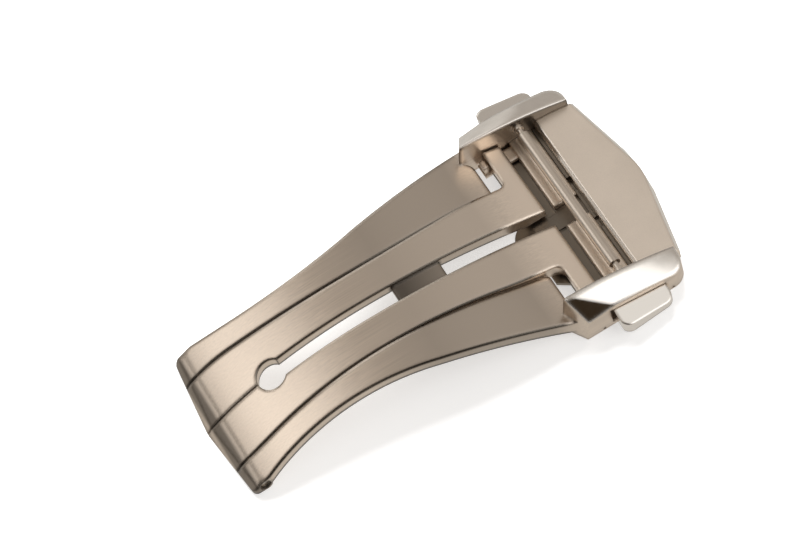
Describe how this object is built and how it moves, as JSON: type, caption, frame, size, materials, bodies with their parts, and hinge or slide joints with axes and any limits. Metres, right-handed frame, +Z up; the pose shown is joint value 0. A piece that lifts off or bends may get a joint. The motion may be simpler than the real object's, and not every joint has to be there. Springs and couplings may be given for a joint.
{
  "type": "deployant clasp",
  "caption": "Single-fold steel deployant clasp for a leather strap, with two side push buttons and a spring bar in the head.",
  "frame": {"origin": "centre of the closed clasp's box, on the plane it rests on", "axes": "+X from the hinge end to the head, +Y across the clasp to the far button, +Z up through the outer face"},
  "size_m": [0.0494, 0.0292, 0.005],
  "materials": {
    "outer_blade": "brushed along the blade, polished on the cheeks",
    "inner_blade": "brushed along the blade",
    "cover": "satin top, polished bevels",
    "base_plate": "plain",
    "push_button": "polished",
    "spring_bar": "turned",
    "pins": "turned",
    "spring_wire": "drawn wire"
  },
  "bodies": {
    "outer_frame": {"outer_blade_near": "outer_blade", "outer_blade_far": "outer_blade", "hinge_pin": "pins", "base_plate": "base_plate", "cover_block": "cover", "locating_pins": "pins", "stop_pins": "pins", "button_spring_near": "spring_wire", "button_spring_far": "spring_wire"},
    "folding_blade": {"inner_blade": "inner_blade"},
    "near_button": {"push_button_near": "push_button"},
    "far_button": {"push_button_far": "push_button"},
    "bar_tube": {"spring_bar_tube": "spring_bar", "spring_bar_spring": "spring_wire"},
    "bar_tip_near": {"spring_bar_tip_near": "spring_bar"},
    "bar_tip_far": {"spring_bar_tip_far": "spring_bar"}
  },
  "joints": [
    {"name": "blade_fold", "type": "hinge", "parent": "outer_frame", "child": "folding_blade", "pos_m": [-0.02247, 0, 0.00075], "axis": [0, -1, 0], "range_deg": [0, 165]},
    {"name": "near_button_press", "type": "slide", "parent": "outer_frame", "child": "near_button", "axis": [0, 1, 0], "range_m": [0, 0.0008], "stiffness_N_per_m": 900, "deforming": ["button_spring_near"]},
    {"name": "far_button_press", "type": "slide", "parent": "outer_frame", "child": "far_button", "axis": [0, -1, 0], "range_m": [0, 0.0008], "stiffness_N_per_m": 900, "deforming": ["button_spring_far"]},
    {"name": "bar_spin", "type": "hinge", "parent": "outer_frame", "child": "bar_tube", "pos_m": [0.01682, 0, 0.00326], "axis": [0, 1, 0], "continuous": true},
    {"name": "near_tip_slide", "type": "slide", "parent": "bar_tube", "child": "bar_tip_near", "axis": [0, 1, 0], "range_m": [0, 0.0005], "stiffness_N_per_m": 1500, "deforming": ["spring_bar_spring"]},
    {"name": "far_tip_slide", "type": "slide", "parent": "bar_tube", "child": "bar_tip_far", "axis": [0, -1, 0], "range_m": [0, 0.0005], "stiffness_N_per_m": 1500, "deforming": ["spring_bar_spring"]}
  ]
}
